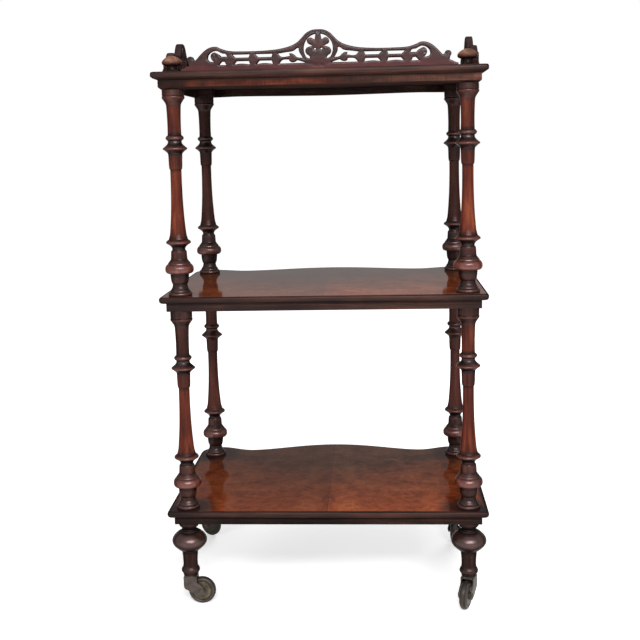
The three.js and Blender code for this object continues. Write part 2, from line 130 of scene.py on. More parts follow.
def ramp(value, stops):
    """A colour ramp from (place, colour) stops."""
    made = node("ShaderNodeValToRGB", {"Fac": value})
    elements = made.color_ramp.elements
    while len(elements) < len(stops):
        elements.new(0.5)
    for element, (place, colour) in zip(elements, stops):
        element.position = place
        element.color = (*colour, 1)
    return made.outputs["Color"]


def blend(factor, a, b, mode="MIX"):
    made = node("ShaderNodeMix", data_type="RGBA", blend_type=mode)
    for index, value in ((0, factor), (6, a), (7, b)):
        if isinstance(value, bpy.types.NodeSocket):
            join(value, made.inputs[index])
        elif index == 0:
            made.inputs[index].default_value = value
        else:
            made.inputs[index].default_value = (*value, 1)
    return made.outputs[2]


def toned(colour, amount, share, to):
    """The colour turned towards another by amount times share."""
    return blend(times(amount, share, clamp=True), colour, to)


def stretched(scale, offset=(0, 0, 0)):
    """The object's own coordinates times scale, in 1/m."""
    coordinates = node("ShaderNodeTexCoord").outputs["Object"]
    inputs = {"Vector": coordinates, "Scale": scale, "Location": offset}
    return node("ShaderNodeMapping", inputs).outputs[0]


def place_of(offset=(0, 0, 0)):
    """The X, Y and Z of the object's own coordinates, in metres."""
    return node("ShaderNodeSeparateXYZ", {0: stretched((1, 1, 1), offset)}).outputs


def noise(vector, scale=1.0, detail=5.0, roughness=0.55, distortion=0.0):
    return node("ShaderNodeTexNoise", {
        "Vector": vector, "Scale": scale, "Detail": detail, "Roughness": roughness, "Distortion": distortion,
    }).outputs["Fac"]


def attribute(name):
    return node("ShaderNodeAttribute", attribute_name=name).outputs["Fac"]


def new_material(name, roughness, coat_roughness=0.1, metallic=0.0, specular=0.5):
    material = bpy.data.materials.new(name)
    material.use_nodes = True
    trees.append(material.node_tree)
    shader = material.node_tree.nodes["Principled BSDF"]
    shader.inputs["Roughness"].default_value = roughness
    shader.inputs["Coat Roughness"].default_value = coat_roughness
    shader.inputs["Metallic"].default_value = metallic
    shader.inputs["Specular IOR Level"].default_value = specular
    return material, shader


def set_colour(shader, colour, height, bump):
    join(colour, shader.inputs["Base Color"])
    relief = node("ShaderNodeBump", {"Height": height, **bump})
    join(relief.outputs[0], shader.inputs["Normal"])


def facing_gloss(shader, facing, weights, share=None, socket="Coat Weight"):
    """Gloss that changes between two facings, from 0 (head on) to 1 (along the surface)."""
    turn = node("ShaderNodeLayerWeight", {"Blend": 0.5}).outputs["Facing"]
    weight = remap(turn, *facing, *weights)
    if share is not None:
        weight = times(weight, share)
    join(weight, shader.inputs[socket])


# Near-black for patina in quirks and seams, and for painted shade at the rails' ends and under the top's
# moulding
PATINA_AND_SHADE = (0.006, 0.0045, 0.0045)
# In metres: half the seam's width, and how far out the rails get dark
SEAM_HALF, ENDS_FROM = 0.0006, 0.2
LEAVES_PER_METRE = 11.5
GRAIN_BUMP = {"Strength": 0.12, "Distance": 0.0003}
VENEER_BUMP = {"Strength": 0.1, "Distance": 0.0003}
BURR_BUMP = {"Strength": 0.03, "Distance": 0.0002}
BRASS_BUMP = {"Strength": 0.25, "Distance": 0.0002}


def turned_material(name, warm_stops):
    """Dark walnut, blackened in the quirks, warmer where its tone is high, with a grain up the post."""
    material, shader = new_material(name, 0.33)
    shader.inputs["Specular Tint"].default_value = (1.0, 0.70, 0.69, 1)
    facing_gloss(shader, facing=(0.12, 0.45), weights=(0.66, 0.02), share=attribute("gloss"),
                 socket="Specular IOR Level")
    streak = noise(stretched((110, 110, 7)), detail=6, roughness=0.62, distortion=0.4)
    cloud = noise(stretched((22, 22, 9), offset=(3, 1, 2)), detail=4)
    grain = weighted((streak, 0.65), (cloud, 0.35))
    dark = ramp(grain, [
        (0.34, (0.004, 0.0025, 0.002)), (0.5, (0.015, 0.007, 0.0055)), (0.68, (0.04, 0.016, 0.012)),
    ])
    colour = blend(attribute("tone"), dark, ramp(grain, warm_stops))
    # The dirt share blackens the quirks, and on the far upper posts it also carries painted shade
    colour = toned(colour, attribute("recess"), share=plus(cloud, 0.75), to=PATINA_AND_SHADE)
    colour = toned(colour, attribute("wear"), share=0.38, to=(0.118, 0.044, 0.034))
    set_colour(shader, colour, streak, GRAIN_BUMP)
    return material


def board_material():
    """Burr walnut mirrored about the middle seam, warm at the near side, with painted shade making the far
    part dark.
    """
    material, shader = new_material("figured_walnut", 0.5, coat_roughness=0.08, specular=0.0)
    facing_gloss(shader, facing=(0.60, 0.90), weights=(0.07, 0.28))
    x, y, z = place_of(offset=(-origin.x * MM, -origin.y * MM, 0))
    across = maths("ABSOLUTE", x)
    leaf = node("ShaderNodeCombineXYZ", {"X": across, "Y": y, "Z": z}).outputs[0]
    cloud = noise(leaf, scale=5.5, detail=3, distortion=0.5)
    burr = noise(leaf, scale=34, detail=9, roughness=0.68, distortion=1.3)
    swirl = node("ShaderNodeTexWave", {
        "Vector": leaf, "Scale": 4.0, "Distortion": 14.0, "Detail": 4.0, "Detail Scale": 1.6,
        "Detail Roughness": 0.66,
    }, wave_type="BANDS", bands_direction="DIAGONAL").outputs["Fac"]
    fine_leaf = node("ShaderNodeMapping", {"Vector": leaf, "Scale": (160, 420, 1)}).outputs[0]
    pores = noise(fine_leaf, detail=3)
    figure = weighted((swirl, 0.10), (burr, 0.58), (cloud, 0.34))
    light = ramp(figure, [
        (0.36, (0.1, 0.019, 0.007)), (0.46, (0.185, 0.038, 0.012)),
        (0.56, (0.248, 0.056, 0.017)), (0.7, (0.33, 0.092, 0.03)),
    ])
    shaded_figure = ramp(figure, [
        (0.36, (0.033, 0.013, 0.008)), (0.5, (0.062, 0.025, 0.014)), (0.7, (0.105, 0.044, 0.024)),
    ])
    # The painted shade over the far part is narrower towards the ends, and its limit is cloudy
    limit = weighted((y, 1.0), (times(x, x), -1.3), (cloud, 0.16))
    far = remap(limit, -0.10, 0.17)
    colour = blend(far, light, shaded_figure)
    # The left leaf of the veneer catches the light less
    left = sloped(x, rise=-400.0, start=0.5)
    colour = toned(colour, left, share=0.34, to=(0.040, 0.012, 0.006))
    speck = ramp(pores, [(0.32, (0.5, 0.42, 0.4)), (0.44, (1, 1, 1))])
    colour = blend(0.7, colour, speck, "MULTIPLY")
    seam = maths("LESS_THAN", across, SEAM_HALF)
    colour = toned(colour, seam, share=maths("SUBTRACT", 0.75, far), to=PATINA_AND_SHADE)
    # Painted shade from the shade share, which also holds some dark polish round the posts' feet
    shade = attribute("shade")
    colour = toned(colour, shade, share=plus(cloud, 0.5), to=(0.013, 0.008, 0.008))
    set_colour(shader, colour, burr, BURR_BUMP)
    return material


def plain_material(name, scale, stops, roughness=0.5, coat=0.15):
    """Straight-grained wood with its grain stretched by scale, with painted shade darkening it towards the
    stand's ends.
    """
    material, shader = new_material(name, roughness, coat_roughness=0.38, specular=0.0)
    facing_gloss(shader, facing=(0.2, 0.6), weights=(coat, 0.02))
    streak = noise(stretched(scale), detail=7, roughness=0.62, distortion=0.3)
    cloud = noise(stretched((12, 12, 12), offset=(5, 2, 1)), detail=4)
    colour = ramp(weighted((streak, 0.7), (cloud, 0.3)), stops)
    # Painted shade towards the stand's ends
    ends = maths("SUBTRACT", maths("ABSOLUTE", place_of()["X"]), ENDS_FROM)
    colour = toned(colour, times(ends, 9.0, clamp=True), share=0.5, to=PATINA_AND_SHADE)
    set_colour(shader, colour, streak, GRAIN_BUMP)
    return material


def frieze_material():
    """Crossbanded veneer: short leaves side by side, each with an upright grain and a tone of its own."""
    material, shader = new_material("crossbanded_walnut", 0.5, coat_roughness=0.2, specular=0.0)
    facing_gloss(shader, facing=(0.2, 0.6), weights=(0.2, 0.02))
    place = place_of()
    around = weighted((place["X"], 1.0), (place["Y"], 1.37))
    leaf = maths("FLOOR", times(around, LEAVES_PER_METRE))
    tone = node("ShaderNodeTexWhiteNoise", {"W": leaf}, noise_dimensions="1D").outputs["Value"]
    streak = noise(stretched((190, 190, 9)), detail=6, roughness=0.65, distortion=0.3)
    cloud = noise(stretched((13, 13, 60), offset=(2, 7, 1)), detail=4, roughness=0.6)
    veneer = ramp(weighted((streak, 0.28), (tone, 0.12), (cloud, 0.60)), [
        (0.34, (0.036, 0.016, 0.013)), (0.46, (0.09, 0.032, 0.022)),
        (0.56, (0.18, 0.066, 0.04)), (0.68, (0.33, 0.12, 0.055)),
    ])
    # The band's tone along the stand: darkest at the left end, lighter and greyer towards the right
    band_tone_along = ramp(remap(place["X"], -0.3, 0.3), [
        (0, (0.06, 0.06, 0.07)), (0.1, (0.09, 0.08, 0.08)), (0.12, (0.3, 0.19, 0.15)),
        (0.14, (0.25, 0.16, 0.13)), (0.16, (0.12, 0.11, 0.1)), (0.18, (0.32, 0.2, 0.17)),
        (0.54, (0.6, 0.38, 0.29)), (0.6, (0.47, 0.43, 0.4)), (0.72, (0.66, 0.68, 0.63)),
        (1, (0.85, 0.87, 0.86)),
    ])
    colour = blend(1.0, veneer, band_tone_along, "MULTIPLY")
    # Painted shade under the top's overhanging moulding, along the band's upper edge
    moulding_shade = maths("SUBTRACT", place["Z"], (TIERS["top"] - TOP_THICK - MOULDING_SHADE_HIGH) * MM)
    colour = toned(colour, times(moulding_shade, 220.0, clamp=True), share=0.8, to=PATINA_AND_SHADE)
    set_colour(shader, colour, streak, VENEER_BUMP)
    return material


def fretted_material():
    """Dark plum-brown walnut, redder along the foot."""
    material, shader = new_material("fretted_walnut", 0.5, coat_roughness=0.25, specular=0.0)
    facing_gloss(shader, facing=(0.3, 0.75), weights=(0.3, 0.02))
    streak = noise(stretched((30, 30, 160)), detail=6, roughness=0.6, distortion=0.5)
    cloud = noise(stretched((26, 26, 26), offset=(1, 4, 2)), detail=4)
    colour = ramp(weighted((streak, 0.6), (cloud, 0.4)), [
        (0.34, (0.011, 0.007, 0.007)), (0.5, (0.03, 0.014, 0.0135)), (0.68, (0.062, 0.028, 0.026)),
    ])
    foot = sloped(place_of(offset=(0, 0, -TIERS["top"] * MM))["Z"], rise=-55.0, start=1.1)
    colour = toned(colour, foot, share=times(cloud, 1.3), to=(0.076, 0.015, 0.016))
    colour = toned(colour, attribute("recess"), share=0.8, to=PATINA_AND_SHADE)
    set_colour(shader, colour, streak, GRAIN_BUMP)
    return material


def brass_material(name, stops):
    """Old brass, dulled to grey-brown, with a little of its yellow left on the wheels."""
    material, shader = new_material(name, 0.5, metallic=0.6, specular=0.2)
    cloud = noise(stretched((60, 60, 60)), detail=6, roughness=0.6, distortion=0.5)
    fine = noise(stretched((400, 400, 400)), detail=4, roughness=0.7)
    colour = ramp(weighted((cloud, 0.75), (fine, 0.25)), stops)
    # The dirt share holds grime in the hollows, and painted shade on the wheels' rims and over the far
    # casters
    colour = toned(colour, attribute("recess"), share=0.9, to=(0.012, 0.010, 0.009))
    set_colour(shader, colour, fine, BRASS_BUMP)
    join(remap(cloud, 0, 1, 0.34, 0.62), shader.inputs["Roughness"])
    return material


LONG_GRAIN, DEEP_GRAIN = (6, 90, 130), (90, 6, 130)
EDGE_STOPS = [
    (0.34, (0.008, 0.006, 0.006)), (0.47, (0.019, 0.01, 0.009)),
    (0.57, (0.036, 0.016, 0.012)), (0.7, (0.066, 0.025, 0.018)),
]
TURNED = turned_material("turned_walnut", [
    (0.34, (0.02, 0.005, 0.004)), (0.45, (0.05, 0.01, 0.006)),
    (0.54, (0.088, 0.018, 0.009)), (0.68, (0.168, 0.043, 0.019)),
])
# A paler, warmer copy of the turned finish for the finials, painted light on the caps' upward faces
LIT_CAP = turned_material("lit_cap_walnut", [
    (0.34, (0.08, 0.034, 0.022)), (0.45, (0.14, 0.06, 0.038)),
    (0.54, (0.22, 0.102, 0.064)), (0.68, (0.34, 0.18, 0.11)),
])
BURR = board_material()
EDGE_X = plain_material("dark_walnut_long", LONG_GRAIN, EDGE_STOPS)
EDGE_Y = plain_material("dark_walnut_side", DEEP_GRAIN, EDGE_STOPS)
# A darker copy of the edge finish for the bottom tier's long rails, as painted shade
EDGE_LOW_SHADED = plain_material("dark_walnut_low", LONG_GRAIN, [
    (0.34, (0.005, 0.004, 0.004)), (0.47, (0.013, 0.008, 0.007)),
    (0.57, (0.026, 0.013, 0.01)), (0.7, (0.05, 0.021, 0.015)),
], coat=0.05)
# A paler copy of the edge finish for the top board's edge, as painted light
EDGE_TOP_LIT = plain_material("dark_walnut_top", LONG_GRAIN, [
    (0.34, (0.014, 0.009, 0.008)), (0.47, (0.036, 0.017, 0.014)),
    (0.57, (0.066, 0.028, 0.021)), (0.7, (0.11, 0.042, 0.03)),
])
RAW = plain_material("raw_underside", (7, 80, 80), [
    (0.34, (0.012, 0.009, 0.008)), (0.55, (0.034, 0.022, 0.017)), (0.72, (0.06, 0.04, 0.03)),
], roughness=0.8, coat=0.0)
FRIEZE = frieze_material()
FRET = fretted_material()
BRASS = brass_material("old_brass", [
    (0.3, (0.034, 0.026, 0.023)), (0.48, (0.066, 0.051, 0.045)), (0.7, (0.105, 0.084, 0.072)),
])
WHEEL_BRASS = brass_material("wheel_brass", [
    (0.32, (0.028, 0.023, 0.016)), (0.48, (0.085, 0.071, 0.045)), (0.7, (0.165, 0.143, 0.095)),
])


# Meshes
def add_object(name, data):
    made = bpy.data.objects.new(name, data)
    bpy.context.scene.collection.objects.link(made)
    return made


def make_piece(name, shape, body, slot, nodes, materials, face_slots=None, sharp=38, shares=None):
    """A mesh piece in the working frame, in millimetres, that rides on a body and stands for CAD nodes."""
    mesh = bpy.data.meshes.new(name)
    vertices, faces = shape
    mesh.from_pydata([frame_point(*v) for v in vertices], [], faces)
    for material in materials:
        mesh.materials.append(material)
    if face_slots is not None:
        mesh.polygons.foreach_set("material_index", face_slots)
    for key, values in (shares or {}).items():
        values = np.asarray(values, np.float32)
        mesh.attributes.new(key, "FLOAT", "POINT").data.foreach_set("value", values)
    work = bmesh.new()
    work.from_mesh(mesh)
    bmesh.ops.recalc_face_normals(work, faces=work.faces)
    work.to_mesh(mesh)
    work.free()
    mesh.shade_smooth()
    mesh.set_sharp_from_angle(angle=radians(sharp))
    piece = add_object(name, mesh)
    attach(piece, body)
    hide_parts(*nodes)
    return piece


BEVEL_STEPS, BEVEL_FROM = 2, 32
RAIL_BEVEL, FORK_BEVEL = 0.7, 0.6


def soften(piece, width):
    """Rounds a piece's hard edges."""
    bevel = piece.modifiers.new("rounding", "BEVEL")
    bevel.width = width * MM
    bevel.segments = BEVEL_STEPS
    bevel.limit_method = "ANGLE"
    bevel.angle_limit = radians(BEVEL_FROM)


def tube_faces(rings, count):
    """Faces round a stack of rings of count vertices each, and over both its ends."""
    faces = []
    for ring in range(rings - 1):
        a = ring * count
        for k in range(count):
            n = (k + 1) % count
            faces.append((a + k, a + n, a + count + n, a + count + k))
    last = (rings - 1) * count
    return [*faces, tuple(reversed(range(count))), tuple(range(last, last + count))]


def hermite(t, start, leaving, end, arriving):
    """A curve's point at t, from 0 to 1, by its ends and its tangents there."""
    return ((2 * t**3 - 3 * t**2 + 1) * start + (t**3 - 2 * t**2 + t) * leaving
            + (-2 * t**3 + 3 * t**2) * end + (t**3 - t**2) * arriving)


def slopes(x, y):
    """Slopes for a curve through the points that never overshoots them."""
    step = np.diff(y) / np.diff(x)
    if len(x) == 2:
        return np.array([step[0], step[0]])
    inner = [0.0 if a * b <= 0 else 2 * a * b / (a + b) for a, b in zip(step[:-1], step[1:])]
    return np.array([step[0], *inner, step[-1]])


PROFILE_STEP = 0.9
# How far round a point its profile is averaged, and the depths of full dirt and full wear
REACH, FULL_RECESS, FULL_WEAR = 7.0, 1.9, 3.2
SEGMENTS, AXLE_SEGMENTS = 56, 32
WORN_RISE = (95, 115)


def smooth_profile(points):
    """Dense (height, radius) points along a profile; a third member marks a crisp corner."""
    dense = []
    run = []
    for index, point in enumerate(points):
        run.append(point[:2])
        ends = index == len(points) - 1
        if (len(point) > 2 or ends) and len(run) > 1:
            x, y = np.array(run, float).T
            slope = slopes(x, y)
            for i, width in enumerate(np.diff(x)):
                count = max(2, ceil(hypot(width, y[i + 1] - y[i]) / PROFILE_STEP))
                for t in np.linspace(0, 1, count, endpoint=False):
                    radius = hermite(t, y[i], width * slope[i], y[i + 1], width * slope[i + 1])
                    dense.append((x[i] + t * width, radius))
            run = [point[:2]]
    dense.append(points[-1][:2])
    return dense


def recess_and_wear(profile):
    """How far each point lies below (recess) or above (wear) the profile around it, from 0 to 1."""
    heights, radii = np.array(profile).T
    around = np.array([np.mean(radii[np.abs(heights - h) <= REACH]) for h in heights])
    away = radii - around
    return np.clip(-away / FULL_RECESS, 0, 1), np.clip(away / FULL_WEAR, 0, 1)


def lathe(profile, foot, along=(0, 0, 1), segments=SEGMENTS):
    """Vertices and faces of a turned piece, closed at both ends; profile is (height, radius)."""
    direction = Vector(along).normalized()
    side = Vector((1, 0, 0)) if direction.z else direction.orthogonal().normalized()
    other = direction.cross(side)
    centre = Vector(foot)
    vertices = []
    for height, radius in profile:
        for k in range(segments):
            turn = 2 * pi * k / segments
            vertices.append(centre + direction * height
                            + (side * cos(turn) + other * sin(turn)) * radius)
    return vertices, tube_faces(len(profile), segments)


def turned_piece(name, points, line, low, tones, shine, vivid=1.0, shade_floor=0.0, worn=0.0, rubbed=1.0,
                 material=TURNED, clean_above=inf):
    """A turned piece on a post line; shade_floor is its least dirt share up to clean_above, painted shade on
    the far upper posts, and worn its least wear.
    """
    profile = smooth_profile(points)
    recess, wear = recess_and_wear(profile)
    heights = np.array([h for h, _ in profile])
    shares = {
        "recess": np.where(heights > clean_above, 0, np.maximum(recess, shade_floor)),
        "wear": np.maximum(wear * rubbed, np.interp(heights, WORN_RISE, [0, worn])),
        "tone": np.interp(heights, *zip(*tones)) * vivid,
        "gloss": np.interp(heights, *zip(*shine)),
    }
    make_piece(name, lathe(profile, (*post_at[line], low)), "stand", "turned_walnut", [name], [material],
               shares={key: np.repeat(values, SEGMENTS) for key, values in shares.items()})


C = "corner"
POST = [
    (-1, 21.2), (0, 21.2), (1, 22.1), (3.2, 22.4), (5.4, 21.8), (7, 20.2, C), (7.6, 18.7, C), (9.4, 18.4),
    (12.5, 16.4), (16, 14.6), (22, 13.5, C), (22.6, 14.3), (27, 16), (31.5, 16.8), (39, 17.4),
    (41.6, 17.5, C), (42, 21.5), (43.4, 24.4), (46.5, 26.3), (49.5, 26.7), (52.8, 26.5), (56, 25.2),
    (58.8, 23, C), (59.5, 21.5, C), (61.2, 21.1), (64.2, 18.8), (67.2, 16.7, C), (67.8, 15.9), (71, 15.4),
    (79, 14.9), (83.2, 14.6), (84.8, 13.9, C), (85.5, 12.6), (88.2, 12.2), (92, 13.8), (95.7, 17.9),
    (98, 21.6, C), (99, 23), (100.6, 23.3), (102.4, 22.4), (104.2, 20.4), (105.2, 18.9, C),
    (106, 18), (109, 17.1), (116, 15.4), (124, 14.5), (139, 13.2), (154, 12.2), (169, 11.4), (184, 10.9),
    (198, 10.6), (213, 10.4), (235.5, 10.4, C), (236.4, 11.5), (238.5, 12, C), (243, 12.4), (258, 12.8),
    (264, 13.1, C), (266, 14), (268.4, 16.4), (271, 19.6), (272.4, 21.8, C), (273.2, 22.5), (274.6, 22.6),
    (275.6, 21.9, C), (277.5, 19.6), (281.5, 15.2), (285, 13), (288.4, 12.7, C), (289.6, 14.4),
    (291.6, 16.2), (293.6, 16.9), (295.6, 16.2), (297.8, 14.2), (298.8, 12.7, C), (315, 12.4), (331, 12.6),
    (345, 13.1), (353, 13.6), (357.3, 15), (361, 17.4), (364.4, 19.6, C), (365.2, 20.5), (367.4, 21),
    (369.4, 20.7), (370.2, 19.8, C), (371.4, 20.6),
]
POST_TOP_RADIUS = 20.6
POST_TONES = [
    (0, 0), (22, 0.05), (41, 0.15), (43, 0.95), (55, 0.8), (61, 0.25), (68, 0.3), (80, 0.2), (86, 0.05),
    (92, 0.2), (104, 0.4), (114, 0.85), (130, 1), (230, 1), (236, 0.5), (262, 0.45), (266, 0.15), (298, 0.2),
]
NECK_TONES = [(300, 0.75), (350, 0.65), (358, 0.25), (369, 0.22), (372, 0.08), (381, 0.05)]
DARK_NECK_TONES = [(300, 0.25), (350, 0.15), (358, 0.05), (381, 0)]
POST_SHINE = [
    (0, 0.8), (12, 0.7), (18, 0.35), (41, 0.35), (43, 1.3), (60, 1.1), (68, 0.4), (94, 0.4), (98, 0.9),
    (110, 0.2), (233, 0.2), (237, 0.2), (264, 0.25), (268, 0.9), (298, 0.7), (300, 0.2), (350, 0.2),
    (358, 0.5), (381, 0.3),
]
FOOT = [
    (0, 13.6), (1.5, 14.2), (3.5, 14.8), (5, 15.2, C), (6, 16.4), (8.6, 17.6), (10.4, 17.7), (13, 17),
    (15.4, 15.6), (16.6, 14.6, C), (24, 13.9), (32, 14.1), (40, 14.7), (47, 15.4), (50.2, 16.4, C),
    (51.4, 19.5), (56, 25.2), (62, 30.8), (66.6, 33.1), (69.5, 33.5), (72.6, 33.2), (78.4, 30.5),
    (84.4, 24.6), (87.4, 20.4, C), (87.8, 16.4), (90.4, 15.8, C), (90.8, 12.9), (92, 12.5), (94, 13.4),
    (96.6, 15.7), (99.8, 18.6), (101.2, 19.3, C), (101.8, 19.6), (107.6, 19.6), (108.5, 19.4),
]
FOOT_TONES = [(0, 0), (16, 0), (20, 0.02), (48, 0.02), (56, 0.06), (68, 0.05), (80, 0), (108, 0)]
FOOT_SHINE = [(0, 0.4), (16, 0.5), (20, 0.15), (48, 0.15), (54, 1.15), (84, 1.15), (88, 0.4), (108, 0.2)]
FINIAL = [
    (-1, 12.7), (0, 12.7), (1, 12.6), (2.2, 11.6), (3.4, 10.6, C), (4.2, 10.2), (8, 9.6), (11.4, 10.2, C),
    (12, 13.4), (13.4, 16.4), (15.6, 18.2), (18, 18.4), (20.6, 17.4), (23.4, 14.9), (26.2, 11),
    (28.4, 6.4), (29.4, 2.4), (29.5, 0.6),
]
# The finial's tone rises towards its top as painted light on the cap's upward face; above FINIAL_CROWN its
# dirt share is cleared
FINIAL_TONES = [(0, 0), (13, 0), (16, 0.08), (18.5, 0.3), (21, 0.75), (25, 0.9), (29, 0.9)]
FINIAL_SHINE = [(0, 0.1), (12, 0.1), (16, 0.3), (29, 0.5)]
FINIAL_CROWN = 18
# The far posts are given painted shade: less warm tone, a floor of painted shade on the upper ones, and on
# the lower ones a share of the wear colour that pales their shafts
FAR_SHADED_VIVID, FAR_SHADE_FLOOR, FAR_WORN = 0.44, 0.4, 0.5
FOOT_RUBBED, FINIAL_RUBBED = 0.15, 0.5


def add_turnings():
    for line in LINES:
        far = line.startswith("far")
        # Painted shade: the far posts keep less of their warm tone
        vivid = FAR_SHADED_VIVID if far else 1.0
        turned_piece(f"{line}_foot", FOOT, line, CASTER_TOP, FOOT_TONES, FOOT_SHINE, vivid,
                     rubbed=FOOT_RUBBED)
        for level, name, upper in (("bottom", "lower", "middle"), ("middle", "upper", "top")):
            under_top = upper == "top"
            low = TIERS[level]
            fall = TOP_THICK + FRIEZE_HIGH if under_top else BOARD_THICK + APRON_HIGH
            top = TIERS[upper] - fall - low + (FAR_LIFT if under_top and far else 0)
            points = [*POST, (top, POST_TOP_RADIUS)]
            # Painted shade on the far upper posts, carried in their dirt share
            shade_floor = FAR_SHADE_FLOOR if far and under_top else 0
            worn = FAR_WORN if far and not under_top else 0
            tones = POST_TONES + (DARK_NECK_TONES if (line, name) == ("near_left", "lower") else NECK_TONES)
            turned_piece(f"{line}_{name}_post", points, line, low, tones, POST_SHINE, vivid, shade_floor, worn)
        if not far:
            turned_piece(f"{line}_finial", FINIAL, line, TIERS["top"], FINIAL_TONES, FINIAL_SHINE,
                         rubbed=FINIAL_RUBBED, material=LIT_CAP, clean_above=FINIAL_CROWN)


# Tiers
SIDE, NEAR, DIP, LOBE, BOW = HALF_X + 36, HALF_Y + 32, HALF_Y + 34, HALF_Y + 57, HALF_Y + 76
LOBE_RADIUS, NEAR_RADIUS, DIP_X, BOW_FULLNESS = 42, 6, 190, 0.85
LOBE_X, LOBE_Y = SIDE - LOBE_RADIUS, LOBE - LOBE_RADIUS
FAR_STEPS, LOBE_STEPS, CORNER_STEPS, INNER_STEPS = 120, 16, 6, 60


def far_edge(x, inset):
    beyond = (abs(x) - DIP_X) / (LOBE_X - DIP_X)
    towards = max(0.0, (DIP_X - abs(x)) / DIP_X)
    if beyond > 0:
        rise = (LOBE - DIP) * sin(min(beyond, 1.0) * pi / 2) ** 2
    else:
        rise = (BOW - DIP) * sin(towards**BOW_FULLNESS * pi / 2) ** 2
    return DIP + rise - inset


def arc(x, y, radius, start, end, steps):
    turns = np.linspace(start, end, steps + 1)
    return [(x + radius * cos(t), y + radius * sin(t)) for t in turns]


def far_side(inset):
    right = arc(LOBE_X, LOBE_Y, LOBE_RADIUS - inset, 0, pi / 2, LOBE_STEPS)
    left = [(-x, y) for x, y in reversed(right)]
    between = [LOBE_X * (1 - 2 * i / FAR_STEPS) for i in range(1, FAR_STEPS)]
    return [*right, *((x, far_edge(x, inset)) for x in between), *left]


def tier_outline(inset):
    x, y = SIDE - inset - NEAR_RADIUS, -NEAR + inset + NEAR_RADIUS
    return [
        *arc(-x, y, NEAR_RADIUS, pi, 1.5 * pi, CORNER_STEPS),
        *arc(x, y, NEAR_RADIUS, 1.5 * pi, 2 * pi, CORNER_STEPS),
        *far_side(inset),
    ]


def loft(rings):
    """Vertices and faces through (outline, z) rings with equal counts, capped at both ends."""
    vertices = [(x, y, z) for outline, z in rings for x, y in outline]
    return vertices, tube_faces(len(rings), len(rings[0][0]))


# The boards' edges, as (inset, height under the board's top)
LOW_NOSE = [
    (4.5, -12), (3.4, -11.7), (2.2, -11), (1.2, -9.9), (0.5, -8.4), (0.1, -6.5), (0, -4.6), (0.2, -2.9),
    (0.8, -1.5), (1.7, -0.6), (2.8, -0.12), (4, 0), (4.8, 0),
]
TOP_NOSE = [
    (11, -14.5), (9.4, -13.9), (7.2, -13.1), (5, -12.2), (3.2, -11.2), (2.1, -10.3), (1.4, -9.9),
    (0.8, -9.3), (0.3, -7.9), (0, -6), (0.1, -4), (0.5, -2.2), (1.1, -1), (2, -0.3), (3.2, 0), (4, 0),
]
FIELD_PITCH, FIELD_INSET = 9, 5
# Triangulation: what is kept, and the distance at which points are joined
WHOLE_HULL, WITHIN, JOINED = 0, 1, 1e-5
# How much painted shade each board is given, overall and where shade_at finds some
SHADES = {"bottom": (0.0, 1.0), "middle": (0.18, 0.4), "top": (0.18, 0.4)}
POST_SHADE, SHADE_REACH, SHADE_FADE = 0.9, 62, 26
EDGE_SHADE, EDGE_WIDE = 0.5, 9


def inner_points(inset):
    """A grid of points well inside a tier's outline."""
    points = []
    for x in np.arange(-SIDE + inset, SIDE - inset, FIELD_PITCH):
        for y in np.arange(-NEAR + inset, BOW - inset, FIELD_PITCH):
            lobe = abs(x) > LOBE_X and y > LOBE_Y
            in_lobe = hypot(abs(x) - LOBE_X, y - LOBE_Y) < LOBE_RADIUS - inset
            if in_lobe if lobe else y < far_edge(min(abs(x), LOBE_X), inset):
                points.append((x, y))
    return points


def shade_at(x, y):
    """How much painted shade lies round the posts' feet, along with some dark polish there, and along the
    ends and the near edge.
    """
    close = min(hypot(x - p.x, y - p.y) for p in post_at.values())
    edge = min(SIDE - abs(x), y + NEAR)
    at_post = max(0, min(1, (SHADE_REACH - close) / SHADE_FADE)) * POST_SHADE
    return at_post + max(0, 1 - edge / EDGE_WIDE) * EDGE_SHADE


def board_piece(name, top):
    nose = TOP_NOSE if name == "top" else LOW_NOSE
    rings = [(tier_outline(inset), top + z) for inset, z in nose]
    vertices, faces = loft(rings)
    rim = rings[-1][0]
    burr, edge_x, edge_y, raw = range(4)
    face_slots = []
    for face in faces[:-2]:
        start, end = vertices[face[0]], vertices[face[1]]
        along_x = abs(end[0] - start[0]) >= abs(end[1] - start[1])
        face_slots.append(edge_x if along_x else edge_y)
    field = [Vector(point) for point in (*rim, *inner_points(nose[-1][0] + FIELD_INSET))]
    ring = [(i, (i + 1) % len(rim)) for i in range(len(rim))]
    made, _, triangles, *_ = delaunay_2d_cdt(field, ring, [], WITHIN, JOINED)
    start = len(vertices) - len(rim)
    vertices += [(p.x, p.y, top) for p in made[len(rim):]]
    faces = faces[:-1] + [tuple(start + i for i in t) for t in triangles]
    face_slots += [raw] + [burr] * len(triangles)
    # Painted shade: the middle and top boards overall, and round the posts' feet and along the edges
    overall, local = SHADES[name]
    shade = [overall + shade_at(x, y) * local for x, y, _ in vertices]
    looks = [BURR, EDGE_TOP_LIT if name == "top" else EDGE_X, EDGE_Y, RAW]
    make_piece(f"{name}_board", (vertices, faces), "stand", "figured_walnut", [f"{name}_board"], looks,
               face_slots, sharp=50, shares={"shade": shade})


BLOCK = 21.5
BLOCK_X, BLOCK_Y = HALF_X - BLOCK, HALF_Y - BLOCK
APRON_INSET, RAIL_INNER = 12, 26
CHAMFER_HIGH, CHAMFER_DEEP = 4.5, 5.5
JOINT_GAP = 0.3
ON_FACE = 0.1


def near_rail(inset):
    near, inner, outer = -NEAR + inset, -NEAR + RAIL_INNER, SIDE - inset
    return [(-outer, near), (outer, near), (outer, -BLOCK_Y), (BLOCK_X, -BLOCK_Y),
            (BLOCK_X, inner), (-BLOCK_X, inner), (-BLOCK_X, -BLOCK_Y), (-outer, -BLOCK_Y)]


